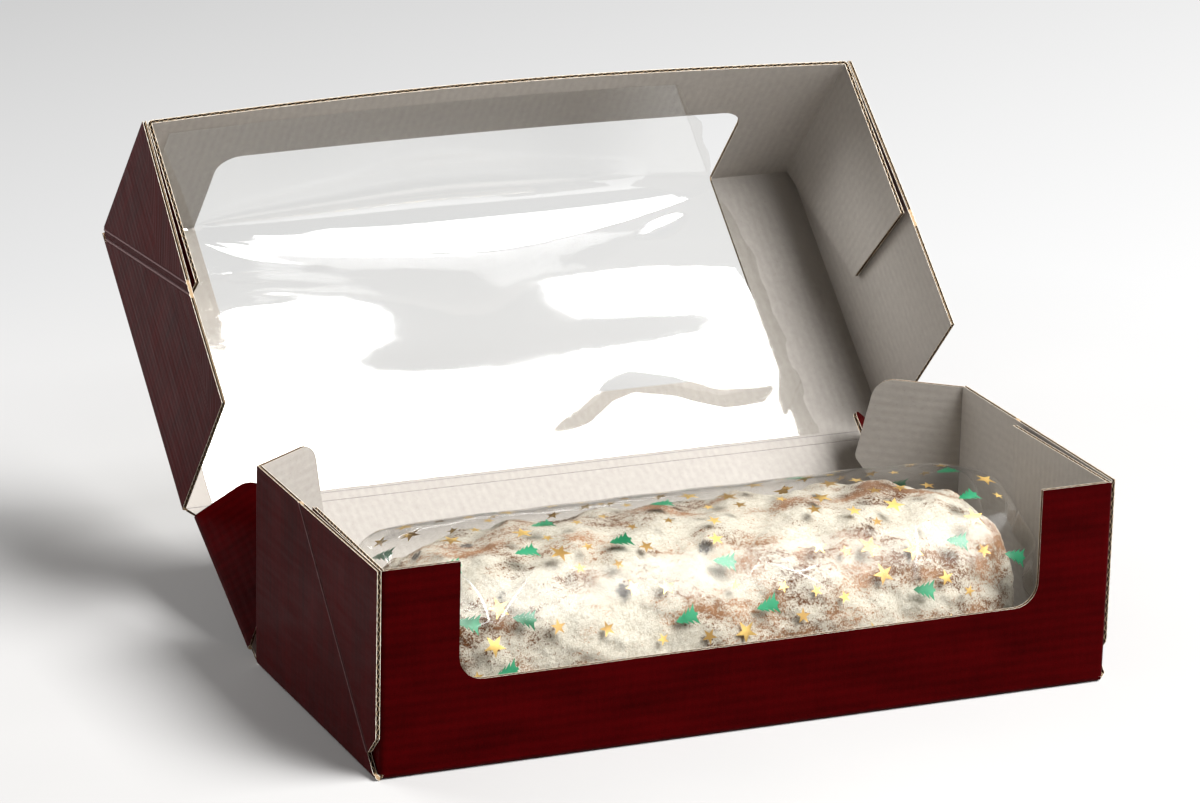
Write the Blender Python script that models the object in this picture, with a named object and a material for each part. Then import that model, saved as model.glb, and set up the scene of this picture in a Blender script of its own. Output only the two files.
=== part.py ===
"""A gift box of corrugated board for a stollen, open, with its wrapped loaf inside.

The box is one folded blank. Each panel has its own frame: x runs along the crease that the
panel folds on, y away from that crease, and z is square to the board. A panel whose crease
moves is a child of the panel that it is creased to, so its origin lies on its joint's axis.
The part's frame is +X to the right, +Y to the rear and +Z up, with its origin on the underside
of the tray, in the middle of the space between the front and the rear wall.
"""

import math

import bmesh
import bpy
from mathutils import Matrix, Vector

for leftover in list(bpy.data.objects):
    bpy.data.objects.remove(leftover, do_unlink=True)

MM = 0.001

# The board and its folds
BOARD = 1.5 * MM
FOLD_GAP = 0.3 * MM  # between panels that meet at a fold or lie against each other
SETBACK = FOLD_GAP / 2  # from a moving crease to the cut edge on each side of it
ARC_STEPS = 6

# The tray
BOX_LENGTH = 280 * MM
BOX_DEPTH = 118 * MM  # from the front's outer face to the dust flaps when they are shut
BOX_HEIGHT = 75 * MM
CUT_OUT_WIDTH = 220 * MM  # the U-shaped cut-out in the front wall
CUT_OUT_SILL = 32 * MM
CUT_OUT_RADIUS = 9 * MM
GUSSET_CLIP = 15 * MM  # what is cut off the lower corner of a tray gusset
FLAP_TOP_DROP = 0.6 * MM  # how far the tray's flaps stay below its rim

# The glue flaps inside the tray and the lid
GLUE_FLAP_REACH = 66 * MM
GLUE_FLAP_TIP_REACH = 71 * MM
GLUE_FLAP_TAPER = 22 * MM
GLUE_FLAP_SPRING = math.radians(1.3)  # how far the tray's glue flaps spring off the ends

# The dust flaps, on the end walls' rear edges
DUST_FLAP_REACH = 40 * MM
DUST_FLAP_TIP_HEIGHT = 43 * MM
DUST_FLAP_TOP_REACH = 33 * MM
DUST_FLAP_HEEL_REACH = 11 * MM
DUST_FLAP_HEEL_HEIGHT = 5 * MM
DUST_FLAP_FOOT_REACH = 2 * MM
DUST_FLAP_FOLDS = {-1: math.radians(55), 1: math.radians(51)}

# The rear wall and its flaps
REAR_WALL_MARGIN = 1.3 * MM  # from the box's side to the rear wall's side edge
REAR_WALL_LEAN = math.radians(62.5)
REAR_FLAP_REACH = 34 * MM
REAR_FLAP_TIP_HEIGHT = 43 * MM
REAR_FLAP_TOP_REACH = 25 * MM
REAR_FLAP_FOOT = 5 * MM
REAR_FLAP_TOP_DROP = 0.5 * MM
REAR_FLAP_FOLDS = {-1: math.radians(138), 1: math.radians(135)}
FLAP_TIP_RADIUS = 3 * MM
FLAP_TOP_RADIUS = 9 * MM

# The lid's hinge: two creases with a narrow band between them
BAND_HEIGHT = 3.8 * MM
BAND_SHUT_LEAN = math.radians(30)  # the band's forward lean when the lid is shut
BAND_FOLD = math.radians(7.5)  # how far the band is folded forward off the rear wall
LID_FOLD = math.radians(6)  # how far the lid is folded forward off the band

# The lid
LID_SIDE_CLEARANCE = 0.4 * MM  # from the tray's side to the lid's glue flap
LID_FRONT_CLEARANCE = 0.8 * MM
LID_TOP_CLEARANCE = 0.8 * MM
LID_WALL_HEIGHT = 73.5 * MM  # inside the lid, from its top panel to its walls' free edges
LID_END_SPLAY = math.radians(1.3)
LID_FRONT_BOW = 4.5 * MM
LID_FRONT_BOW_POWER = 1.5
WINDOW_WIDTH = 215 * MM
WINDOW_HINGE_MARGIN = 30 * MM  # from the hinge to the window's edge in the top panel
WINDOW_FRONT_DEPTH = 45 * MM
WINDOW_RADIUS = 9 * MM
BOW_COLUMNS = 14
BOW_ROWS = 5

# The film behind the window
FILM = 0.2 * MM
FILM_LEFT = 132 * MM  # from the lid's middle to the film's left edge
FILM_RIGHT = 114 * MM
FILM_HINGE_MARGIN = 1 * MM
FILM_FRONT_DEPTH = 66 * MM
FILM_FRONT_RIGHT_SHARES = ((0.93, 0), (0.7, 0.82), (0.65, 1))

# The stollen, which lies on the tray's bottom
LOAF_WIDTH = 92 * MM
LOAF_HEIGHT = 61 * MM
LOAF_CREST_SHIFT = 4 * MM  # how far the crest lies behind the loaf's middle
LOAF_SQUARENESS = 2.7
LOAF_PLAN_SQUARENESS = 4.5
LOAF_STATIONS = 34
LOAF_SIDES = 20
LOAF_LUMP_DEPTH = 3 * MM  # how far the hollows of the crust lie inside its dome
LOAF_LUMP_LENGTH = 46 * MM  # from lump to lump along the loaf
LOAF_LUMP_GIRTH = 58 * MM  # and over its back
LOAF_LESSER_LUMPS = 0.62  # size of the lesser lumps beside the main ones
LOAF_END_SHARE = 0.93  # where the last station stands, as a share of a quarter turn
WRAP = 0.3 * MM
WRAP_PLAN_SQUARENESS = 9  # its ends are folded flat, so it is squarer than the loaf
WRAP_STATIONS = 24
WRAP_END_SHARE = 0.97
WRAP_LEFT_ROOM = 18.5 * MM  # from the tray's end wall to the wrap
WRAP_RIGHT_ROOM = 17 * MM
WRAP_FRONT_ROOM = 1.5 * MM  # from the tray's front wall to the wrap
WRAP_SIDE_SLACK = 1 * MM
WRAP_TOP_SLACK = 3.6 * MM
WRAP_END_SLACK = 4 * MM

# What follows from these
HALF_LENGTH = BOX_LENGTH / 2
INNER_HALF = HALF_LENGTH - BOARD
FRONT_PANEL_HALF = INNER_HALF - FOLD_GAP
REAR_ROOM = 2 * (BOARD + FOLD_GAP)  # for the two layers of folded flaps
REAR_Y = (BOX_DEPTH + REAR_ROOM) / 2
FRONT_Y = -REAR_Y
DUST_FLAP_Y = FRONT_Y + BOX_DEPTH
FLAP_TOP = BOX_HEIGHT - FLAP_TOP_DROP
FLAP_FOOT = BOARD + FOLD_GAP
DIAGONAL_SHIFT = FOLD_GAP / math.sqrt(2)
REAR_WALL_HALF = HALF_LENGTH - REAR_WALL_MARGIN
LID_INNER_HEIGHT = BOX_HEIGHT + LID_TOP_CLEARANCE
REAR_WALL_HEIGHT = LID_INNER_HEIGHT - BOARD - BAND_HEIGHT * math.cos(BAND_SHUT_LEAN)
LID_PANEL_HALF = HALF_LENGTH + LID_SIDE_CLEARANCE + BOARD
LID_END_HALF = LID_PANEL_HALF + FOLD_GAP
LID_DEPTH = REAR_Y - BAND_HEIGHT * math.sin(BAND_SHUT_LEAN) - FRONT_Y + LID_FRONT_CLEARANCE
LID_REACH = LID_DEPTH + BOARD  # from the hinge to the lid's front, outside
WRAP_HALF_LENGTH = INNER_HALF - (WRAP_LEFT_ROOM + WRAP_RIGHT_ROOM) / 2
WRAP_HALF_WIDTH = LOAF_WIDTH / 2 + WRAP_SIDE_SLACK
STOLLEN_X = (WRAP_LEFT_ROOM - WRAP_RIGHT_ROOM) / 2
STOLLEN_Y = FRONT_Y + BOARD + WRAP_FRONT_ROOM + WRAP + WRAP_HALF_WIDTH

LEFT = -1
RIGHT = 1
SIDE_NAMES = {LEFT: "left", RIGHT: "right"}


def make_material(name, colour, roughness, alpha=1):
    """A Principled material with one colour."""
    material = bpy.data.materials.new(name)
    material.use_nodes = True
    shader = material.node_tree.nodes["Principled BSDF"]
    shader.inputs["Base Color"].default_value = (*colour, 1)
    shader.inputs["Roughness"].default_value = roughness
    shader.inputs["Metallic"].default_value = 0
    shader.inputs["Alpha"].default_value = alpha
    return material


BURGUNDY = make_material("burgundy_board", (0.11, 0.004, 0.006), 0.35)
LINER = make_material("grey_liner", (0.62, 0.59, 0.56), 0.85)
FILM_CLEAR = make_material("window_film", (0.9, 0.9, 0.9), 0.08, 0.25)
SUGAR = make_material("sugared_crumb", (0.86, 0.8, 0.7), 0.9)
WRAP_CLEAR = make_material("clear_wrap", (0.92, 0.9, 0.85), 0.1, 0.3)


def frame_at(origin, across, up):
    """A panel's frame, with x along its crease, y away from it and z square to the board."""
    x_axis = Vector(across)
    y_axis = Vector(up)
    axes = Matrix((x_axis, y_axis, x_axis.cross(y_axis))).transposed()
    return Matrix.Translation(origin) @ axes.to_4x4()


def rounded(corners):
    """The points of an outline whose corners are (x, y) or (x, y, radius)."""
    points = []
    for index, corner in enumerate(corners):
        here = Vector(corner[:2])
        if len(corner) == 2:
            points.append(here)
            continue
        radius = corner[2]
        back = (Vector(corners[index - 1][:2]) - here).normalized()
        ahead = (Vector(corners[(index + 1) % len(corners)][:2]) - here).normalized()
        half_corner = back.angle(ahead) / 2
        sweep = math.pi - 2 * half_corner
        centre = here + (back + ahead).normalized() * (radius / math.sin(half_corner))
        start = here + back * (radius / math.tan(half_corner)) - centre
        end = here + ahead * (radius / math.tan(half_corner)) - centre
        for step in range(ARC_STEPS + 1):
            share = step / ARC_STEPS
            arm = start * math.sin((1 - share) * sweep) + end * math.sin(share * sweep)
            points.append(centre + arm / math.sin(sweep))
    return points


def add_object(name, body, material, place, parent):
    """Turns a bmesh into the named object, placed in its parent's frame."""
    bmesh.ops.recalc_face_normals(body, faces=body.faces)
    mesh = bpy.data.meshes.new(name)
    body.to_mesh(mesh)
    body.free()
    mesh.materials.append(material)
    piece = bpy.data.objects.new(name, mesh)
    bpy.context.scene.collection.objects.link(piece)
    piece.parent = parent
    piece.matrix_basis = place
    return piece


def sheet_body(corners, low, high):
    """A flat sheet between the heights low and high, with the outline of the corners."""
    body = bmesh.new()
    face = body.faces.new([body.verts.new((*point, low)) for point in rounded(corners)])
    grown = bmesh.ops.extrude_face_region(body, geom=[face])
    moved = [item for item in grown["geom"] if isinstance(item, bmesh.types.BMVert)]
    bmesh.ops.translate(body, verts=moved, vec=(0, 0, high - low))
    return body


def add_panel(name, corners, outside, place, parent=None, material=BURGUNDY, lift=0):
    """A board panel whose inner face lies in its frame's plane and whose outer face lies
    on the +z side where outside is 1 and on the -z side where it is -1."""
    body = sheet_body(corners, outside * lift, outside * (lift + BOARD))
    return add_object(name, body, material, place, parent)


def add_empty(name, place, parent=None):
    """An empty that carries the pieces of one moving body."""
    empty = bpy.data.objects.new(name, None)
    bpy.context.scene.collection.objects.link(empty)
    empty.parent = parent
    empty.matrix_basis = place
    return empty


def notched(half, low, high, notch_half, notch_depth_at, radius):
    """The corners of a rectangle with a notch in its high edge, down to notch_depth_at."""
    return [
        (-half, low),
        (half, low),
        (half, high),
        (notch_half, high),
        (notch_half, notch_depth_at, radius),
        (-notch_half, notch_depth_at, radius),
        (-notch_half, high),
        (-half, high),
    ]


def mirrored_up(corners, height):
    """The corners turned upside down about half of the height."""
    return [(corner[0], height - corner[1], *corner[2:]) for corner in reversed(corners)]


def bow_share(across, up):
    """How far out the lid's front wall is bowed there, from 0 at its crease to 1 at the
    middle of its free edge: a half sine along the wall, times a power of the height."""
    along = math.cos(math.pi / 2 * min(1, abs(across) / LID_PANEL_HALF))
    return along * max(0, up / LID_WALL_HEIGHT) ** LID_FRONT_BOW_POWER


def bow_out(body):
    """Cuts a sheet in the lid's front frame into a grid and bows it out."""
    for column in range(1, BOW_COLUMNS):
        across = LID_PANEL_HALF * (2 * column / BOW_COLUMNS - 1)
        cut_sheet(body, (across, 0, 0), (1, 0, 0))
    for row in range(1, BOW_ROWS):
        cut_sheet(body, (0, LID_WALL_HEIGHT * row / BOW_ROWS, 0), (0, 1, 0))
    for vertex in body.verts:
        vertex.co.z -= LID_FRONT_BOW * bow_share(vertex.co.x, vertex.co.y)


def cut_sheet(body, point, normal):
    """Cuts every face and edge of a sheet along a plane and keeps both sides."""
    geometry = [*body.verts, *body.edges, *body.faces]
    bmesh.ops.bisect_plane(body, geom=geometry, plane_co=point, plane_no=normal, dist=FOLD_GAP / 100)


def add_tray():
    """The tray: bottom, front wall, glue flaps, end walls and gussets."""
    add_panel(
        "tray_bottom",
        [
            (-FRONT_PANEL_HALF, BOARD + FOLD_GAP),
            (FRONT_PANEL_HALF, BOARD + FOLD_GAP),
            (FRONT_PANEL_HALF, REAR_Y - FRONT_Y - SETBACK),
            (-FRONT_PANEL_HALF, REAR_Y - FRONT_Y - SETBACK),
        ],
        -1,
        frame_at((0, FRONT_Y, BOARD), (1, 0, 0), (0, 1, 0)),
        material=LINER,
    )
    add_panel(
        "tray_front_wall",
        notched(FRONT_PANEL_HALF, 0, BOX_HEIGHT, CUT_OUT_WIDTH / 2, CUT_OUT_SILL, CUT_OUT_RADIUS),
        1,
        frame_at((0, FRONT_Y + BOARD, 0), (1, 0, 0), (0, 0, 1)),
    )
    for side, side_name in SIDE_NAMES.items():
        end_frame = frame_at((side * INNER_HALF, FRONT_Y, 0), (0, 1, 0), (0, 0, 1))
        add_panel(
            "tray_end_wall_" + side_name,
            [
                (DIAGONAL_SHIFT, 0),
                (BOX_DEPTH - SETBACK, 0),
                (BOX_DEPTH - SETBACK, BOX_HEIGHT),
                (BOX_HEIGHT + DIAGONAL_SHIFT, BOX_HEIGHT),
            ],
            side,
            end_frame,
        )
        add_panel(
            "tray_end_gusset_" + side_name,
            [
                (0, GUSSET_CLIP),
                ((GUSSET_CLIP - DIAGONAL_SHIFT) / 2, (GUSSET_CLIP + DIAGONAL_SHIFT) / 2),
                (BOX_HEIGHT - DIAGONAL_SHIFT, BOX_HEIGHT),
                (0, BOX_HEIGHT),
            ],
            side,
            end_frame,
        )
        along_flap = (-side * math.sin(GLUE_FLAP_SPRING), math.cos(GLUE_FLAP_SPRING), 0)
        add_panel(
            "tray_front_glue_flap_" + side_name,
            glue_flap_corners(BOARD + FOLD_GAP, FLAP_FOOT, FLAP_TOP),
            side,
            frame_at((side * (FRONT_PANEL_HALF - BOARD), FRONT_Y, 0), along_flap, (0, 0, 1)),
            material=LINER,
        )


def glue_flap_corners(start, foot, top):
    """The outline of a glue flap: x from the front's outer face, y from the crease below."""
    return [
        (start, foot),
        (GLUE_FLAP_REACH, GLUE_FLAP_TAPER),
        (GLUE_FLAP_TIP_REACH, top),
        (start, top),
    ]


def add_dust_flaps():
    """The flaps on the end walls' rear edges, which fold in behind the stollen."""
    for side, side_name in SIDE_NAMES.items():
        fold = DUST_FLAP_FOLDS[side]
        away = (-side * math.sin(fold), math.cos(fold), 0)
        add_panel(
            "dust_flap_" + side_name,
            [
                (SETBACK, FLAP_FOOT),
                (DUST_FLAP_FOOT_REACH, FLAP_FOOT),
                (DUST_FLAP_HEEL_REACH, DUST_FLAP_HEEL_HEIGHT),
                (DUST_FLAP_REACH, DUST_FLAP_TIP_HEIGHT, FLAP_TIP_RADIUS),
                (DUST_FLAP_TOP_REACH, FLAP_TOP, FLAP_TOP_RADIUS),
                (SETBACK, FLAP_TOP),
            ],
            side,
            frame_at((side * INNER_HALF, DUST_FLAP_Y, 0), away, (0, 0, 1)),
            material=LINER,
        )


def add_rear_wall():
    """The rear wall, leaning back on its crease, with the flaps on its side edges."""
    up_the_wall = (0, math.sin(REAR_WALL_LEAN), math.cos(REAR_WALL_LEAN))
    wall = add_panel(
        "rear_wall",
        [
            (-REAR_WALL_HALF, SETBACK),
            (REAR_WALL_HALF, SETBACK),
            (REAR_WALL_HALF, REAR_WALL_HEIGHT - SETBACK),
            (-REAR_WALL_HALF, REAR_WALL_HEIGHT - SETBACK),
        ],
        -1,
        frame_at((0, REAR_Y, BOARD), (1, 0, 0), up_the_wall),
        material=LINER,
    )
    flap_top = REAR_WALL_HEIGHT - REAR_FLAP_TOP_DROP
    for side, side_name in SIDE_NAMES.items():
        fold = REAR_FLAP_FOLDS[side]
        away = (side * math.cos(fold), 0, math.sin(fold))
        add_panel(
            "rear_wall_flap_" + side_name,
            [
                (SETBACK, REAR_FLAP_FOOT),
                (REAR_FLAP_REACH, REAR_FLAP_TIP_HEIGHT, FLAP_TIP_RADIUS),
                (REAR_FLAP_TOP_REACH, flap_top, FLAP_TOP_RADIUS),
                (SETBACK, flap_top),
            ],
            -side,
            frame_at((side * (REAR_WALL_HALF + SETBACK), 0, SETBACK), away, (0, 1, 0)),
            wall,
            lift=SETBACK,
        )
    return wall


def add_hinge_band(wall):
    """The narrow band between the lid's two creases. It widens from the rear wall's width
    to the lid's."""
    place = Matrix.Translation((0, REAR_WALL_HEIGHT, 0)) @ Matrix.Rotation(BAND_FOLD, 4, "X")
    return add_panel(
        "hinge_band",
        [
            (-REAR_WALL_HALF, SETBACK),
            (REAR_WALL_HALF, SETBACK),
            (LID_PANEL_HALF, BAND_HEIGHT - SETBACK),
            (-LID_PANEL_HALF, BAND_HEIGHT - SETBACK),
        ],
        -1,
        place,
        wall,
        material=LINER,
    )


def add_lid(band):
    """The lid, on an empty at its crease: top panel, front wall, ends and glue flaps."""
    crease = Matrix.Translation((0, BAND_HEIGHT, 0)) @ Matrix.Rotation(LID_FOLD, 4, "X")
    lid = add_empty("lid_crease", crease, band)
    add_panel(
        "lid_top_panel",
        notched(
            LID_PANEL_HALF,
            SETBACK,
            LID_DEPTH - FOLD_GAP,
            WINDOW_WIDTH / 2,
            WINDOW_HINGE_MARGIN,
            WINDOW_RADIUS,
        ),
        -1,
        Matrix.Identity(4),
        lid,
    )
    front_height = LID_WALL_HEIGHT + BOARD
    upside_down = notched(
        LID_PANEL_HALF,
        0,
        front_height,
        WINDOW_WIDTH / 2,
        LID_WALL_HEIGHT - WINDOW_FRONT_DEPTH,
        WINDOW_RADIUS,
    )
    front_body = sheet_body(mirrored_up(upside_down, LID_WALL_HEIGHT), 0, -BOARD)
    bow_out(front_body)
    front_frame = frame_at((0, LID_DEPTH, 0), (1, 0, 0), (0, 0, 1))
    add_object("lid_front_wall", front_body, BURGUNDY, front_frame, lid)
    for side, side_name in SIDE_NAMES.items():
        add_lid_end(lid, side, side_name)
    add_window_film(lid, front_frame)


def add_lid_end(lid, side, side_name):
    """One end of the lid: its wall, its gusset and the front's glue flap inside them. The
    wall splays out about its crease, and the gusset about the front corner."""
    corner = (side * LID_END_HALF, LID_REACH, 0)
    splay_sine = side * math.sin(LID_END_SPLAY)
    splay_cosine = math.cos(LID_END_SPLAY)
    diagonal_reach = LID_WALL_HEIGHT + BOARD
    add_panel(
        "lid_end_wall_" + side_name,
        [
            (DIAGONAL_SHIFT, -BOARD),
            (LID_REACH - SETBACK, -BOARD),
            (LID_REACH - SETBACK, LID_WALL_HEIGHT),
            (diagonal_reach + DIAGONAL_SHIFT, LID_WALL_HEIGHT),
        ],
        -side,
        frame_at(corner, (0, -1, 0), (splay_sine, 0, splay_cosine)),
        lid,
    )
    add_panel(
        "lid_end_gusset_" + side_name,
        [
            (0, DIAGONAL_SHIFT - BOARD),
            (diagonal_reach - DIAGONAL_SHIFT, LID_WALL_HEIGHT),
            (0, LID_WALL_HEIGHT),
        ],
        -side,
        frame_at(corner, (splay_sine, -splay_cosine, 0), (0, 0, 1)),
        lid,
    )
    add_panel(
        "lid_front_glue_flap_" + side_name,
        glue_flap_corners(BOARD + FOLD_GAP, FOLD_GAP, LID_WALL_HEIGHT),
        -side,
        frame_at((side * (LID_PANEL_HALF - BOARD), LID_REACH, 0), (0, -1, 0), (0, 0, 1)),
        lid,
        material=LINER,
    )


def add_window_film(lid, front_frame):
    """The clear film behind the window, in two sheets that meet at the lid's front crease."""
    film_end = LID_DEPTH - FILM - 2 * FOLD_GAP
    top_sheet = [
        (-FILM_LEFT, FILM_HINGE_MARGIN),
        (FILM_RIGHT, FILM_HINGE_MARGIN),
        (FILM_RIGHT, film_end),
        (-FILM_LEFT, film_end),
    ]
    top_body = sheet_body(top_sheet, FOLD_GAP, FOLD_GAP + FILM)
    add_object("window_film_top", top_body, FILM_CLEAR, Matrix.Identity(4), lid)
    film_depth = FILM_FRONT_DEPTH - FOLD_GAP
    right_edge = [
        (FILM_RIGHT * across, FOLD_GAP + film_depth * down) for across, down in FILM_FRONT_RIGHT_SHARES
    ]
    front_sheet = [(-FILM_LEFT, FOLD_GAP), *right_edge, (-FILM_LEFT, FILM_FRONT_DEPTH)]
    front_body = sheet_body(front_sheet, FOLD_GAP, FOLD_GAP + FILM)
    bow_out(front_body)
    add_object("window_film_front", front_body, FILM_CLEAR, front_frame, lid)


def lump_hollow(along, girth):
    """How far the crust is pulled in: two waves of lumps that run across each other."""
    run = 2 * math.pi * along / LOAF_LUMP_LENGTH
    climb = 2 * math.pi * girth / LOAF_LUMP_GIRTH
    lesser = math.sin((run - climb) / LOAF_LESSER_LUMPS + 1)
    return LOAF_LUMP_DEPTH * (2 - math.sin(run + climb) - lesser) / 4


def add_lumps(rings, half_width, height):
    """Pulls each ring's points in towards the middle of the sole, which stays flat."""
    girth = math.pi * (half_width + height) / 2
    for ring in rings:
        for index, (along, sideways, rise) in enumerate(ring):
            hollow = lump_hollow(along, girth * index / LOAF_SIDES)
            share = 1 - hollow / half_width
            ring[index] = (along, sideways * share, rise * share)
    return rings


def dome_rings(half_length, half_width, height, stations, end_share, plan_squareness):
    """The rings of a loaf-shaped dome. Its plan and its cross-section are superellipses,
    and its crest is shifted back in proportion to the height."""
    rings = []
    for station in range(stations):
        turn = math.pi / 2 * end_share * (2 * station / (stations - 1) - 1)
        along = math.sin(turn)
        share = (1 - abs(along) ** plan_squareness) ** (1 / plan_squareness)
        ring = []
        for side in range(LOAF_SIDES + 1):
            angle = math.pi * side / LOAF_SIDES
            out = math.copysign(abs(math.cos(angle)) ** (2 / LOAF_SQUARENESS), math.cos(angle))
            rise = abs(math.sin(angle)) ** (2 / LOAF_SQUARENESS) * math.sqrt(share)
            sideways = half_width * share * out + LOAF_CREST_SHIFT * rise
            ring.append((half_length * along, sideways, height * rise))
        rings.append(ring)
    return rings


def add_dome_skin(body, rings):
    """The faces between neighbouring rings, and a flat face over each end."""
    rows = [[body.verts.new(point) for point in ring] for ring in rings]
    for row, next_row in zip(rows, rows[1:]):
        for index in range(LOAF_SIDES):
            body.faces.new((row[index], row[index + 1], next_row[index + 1], next_row[index]))
    body.faces.new(rows[0])
    body.faces.new(rows[-1])
    return rows


def add_stollen():
    """The loaf, and its wrap as a thin skin that is open underneath."""
    place = Matrix.Translation((STOLLEN_X, STOLLEN_Y, BOARD + FOLD_GAP))
    loaf_body = bmesh.new()
    loaf_half_length = WRAP_HALF_LENGTH - WRAP_END_SLACK
    loaf_shape = (LOAF_STATIONS, LOAF_END_SHARE, LOAF_PLAN_SQUARENESS)
    rings = dome_rings(loaf_half_length, LOAF_WIDTH / 2, LOAF_HEIGHT, *loaf_shape)
    rows = add_dome_skin(loaf_body, add_lumps(rings, LOAF_WIDTH / 2, LOAF_HEIGHT))
    for row, next_row in zip(rows, rows[1:]):
        loaf_body.faces.new((row[0], row[-1], next_row[-1], next_row[0]))
    loaf = add_object("stollen_loaf", loaf_body, SUGAR, place, None)
    wrap_body = bmesh.new()
    wrap_shape = (WRAP_STATIONS, WRAP_END_SHARE, WRAP_PLAN_SQUARENESS)
    rings = dome_rings(WRAP_HALF_LENGTH, WRAP_HALF_WIDTH, LOAF_HEIGHT + WRAP_TOP_SLACK, *wrap_shape)
    add_dome_skin(wrap_body, rings)
    wrap = add_object("stollen_wrap", wrap_body, WRAP_CLEAR, place, None)
    skin = wrap.modifiers.new("skin", "SOLIDIFY")
    skin.thickness = WRAP
    skin.offset = 1
    for piece in (loaf, wrap):
        piece.data.shade_smooth()


add_tray()
add_dust_flaps()
rear_wall = add_rear_wall()
add_lid(add_hinge_band(rear_wall))
add_stollen()
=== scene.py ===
import math

import bmesh
import bpy
import mathutils
import numpy as np
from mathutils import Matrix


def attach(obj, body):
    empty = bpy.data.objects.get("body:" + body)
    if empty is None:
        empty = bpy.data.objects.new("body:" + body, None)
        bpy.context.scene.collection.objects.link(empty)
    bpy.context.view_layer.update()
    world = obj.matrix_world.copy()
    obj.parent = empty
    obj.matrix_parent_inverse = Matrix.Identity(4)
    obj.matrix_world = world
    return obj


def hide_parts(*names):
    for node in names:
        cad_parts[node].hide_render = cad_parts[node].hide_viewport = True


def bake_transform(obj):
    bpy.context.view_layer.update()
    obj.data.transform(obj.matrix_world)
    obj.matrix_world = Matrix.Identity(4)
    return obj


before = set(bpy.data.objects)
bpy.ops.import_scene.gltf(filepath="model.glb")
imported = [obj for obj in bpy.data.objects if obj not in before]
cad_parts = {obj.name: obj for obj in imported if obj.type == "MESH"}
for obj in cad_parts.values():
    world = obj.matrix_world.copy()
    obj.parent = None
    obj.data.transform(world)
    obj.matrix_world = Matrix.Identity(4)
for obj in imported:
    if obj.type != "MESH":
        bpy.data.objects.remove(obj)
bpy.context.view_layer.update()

# The tray's front wall and its glue flaps
# One strip of E-flute board, printed burgundy outside and left grey inside. It is folded back at
# each side, and its middle is cut down to a low sill with rounded corners.
MM = 0.001  # every size below is in millimetres, and add_piece turns it into metres
WELD = 2e-6  # in metres
BOARD = 1.5
LINER = 0.2
MEDIUM = 0.17
FLUTE_PITCH = 3.35
FLUTE_STEPS = 12
LAYER_GAP = 0.01
FOLD_RADIUS = 0.3  # on the inside of a fold
PRINT, GREY, KRAFT_IN_SHADE, KRAFT, CUT, PRESSED_AND_SHADED, WORN_WITH_HIGHLIGHT = range(7)
TRAY_HALF = 140
TRAY_FRONT = -60.8
TRAY_HEIGHT = 75
SILL_HEIGHT = 32
OPENING_HALF = 110
OPENING_RADIUS = 9
FLAP_TOP = 74.4
FLAP_START = 1.8
FLAP_BEND = 66
FLAP_TIP = 71
FLAP_TAPER = 22
FLAP_SPRING = math.radians(1.3)


class Finish:
    """A material and the nodes that are wired into it. Its patterns read the object's own
    coordinates, or the place on the flat board, in millimetres."""

    def __init__(self, name, on_board=False):
        self.material = bpy.data.materials.new(name)
        self.material.use_nodes = True
        self.tree = self.material.node_tree
        self.shader = self.tree.nodes["Principled BSDF"]
        if on_board:
            self.place = self.wire("Attribute", "Vector", {"attribute_name": "board"})
        else:
            self.place = self.wire("TexCoord", "Object")

    def connect(self, node, inputs):
        """Links or sets the node's sockets. An input named _0 is the first socket."""
        for key, value in inputs.items():
            socket = node.inputs[int(key[1:]) if key[0] == "_" else key.replace("_", " ")]
            if isinstance(value, bpy.types.NodeSocket):
                self.tree.links.new(value, socket)
            else:
                socket.default_value = value

    def wire(self, kind, output=0, props=None, **inputs):
        """Adds a node and returns one of its outputs."""
        node = self.tree.nodes.new("ShaderNode" + kind)
        for key, value in (props or {}).items():
            setattr(node, key, value)
        self.connect(node, inputs)
        return node.outputs[output]

    def shade(self, colour, roughness, height, depth, **inputs):
        """Sets the Principled shader, with a bump of that depth in millimetres, and returns the
        material."""
        bump = self.wire("Bump", Height=height, Distance=depth * MM, Strength=1.0)
        self.connect(self.shader, {"Base Color": colour, "Roughness": roughness, "Normal": bump, **inputs})
        return self.material

    def across(self):
        """How far the place lies from the middle along X."""
        return self.math("ABSOLUTE", self.wire("SeparateXYZ", "X", _0=self.place))

    def stripes(self, direction, pitch, distortion, detail_scale):
        """A sine wave across the direction, with the pitch in millimetres."""
        props = {"wave_type": "BANDS", "bands_direction": direction}
        look = {"Scale": 2 * math.pi / 20 / pitch, "Distortion": distortion, "Detail_Scale": detail_scale}
        return self.wire("TexWave", "Fac", props, Vector=self.place, Detail=2.0, **look)

    def noise(self, scale, detail, roughness=0.5, place=None):
        place = self.place if place is None else place
        return self.wire("TexNoise", "Fac", Vector=place, Scale=scale, Detail=detail, Roughness=roughness)

    def grain(self, stretch, detail=4.0, roughness=0.5):
        """Noise with a grain of that many millimetres along each axis."""
        scaled = self.wire("Mapping", Vector=self.place, Scale=[1 / size for size in stretch])
        return self.noise(1.0, detail, roughness, scaled)

    def remap(self, value, low, high, to_low, to_high):
        """Carries the value over from one range to another, and clamps it."""
        return self.wire("MapRange", _0=value, _1=low, _2=high, _3=to_low, _4=to_high)

    def math(self, operation, first, second=0.0):
        return self.wire("Math", 0, {"operation": operation}, _0=first, _1=second)

    def add(self, first, second):
        return self.math("ADD", first, second)

    def times(self, first, second):
        return self.math("MULTIPLY", first, second)

    def mix(self, factor, first, second):
        """The first colour at 0 and the second at 1."""
        return self.wire("Mix", 2, {"data_type": "RGBA"}, _0=factor, _6=first, _7=second)

    def tint(self, value, low, high, first, second):
        """The first colour where the value is low, the second where it is high."""
        return self.mix(self.remap(value, low, high, 0, 1), (*first, 1), (*second, 1))


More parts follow.
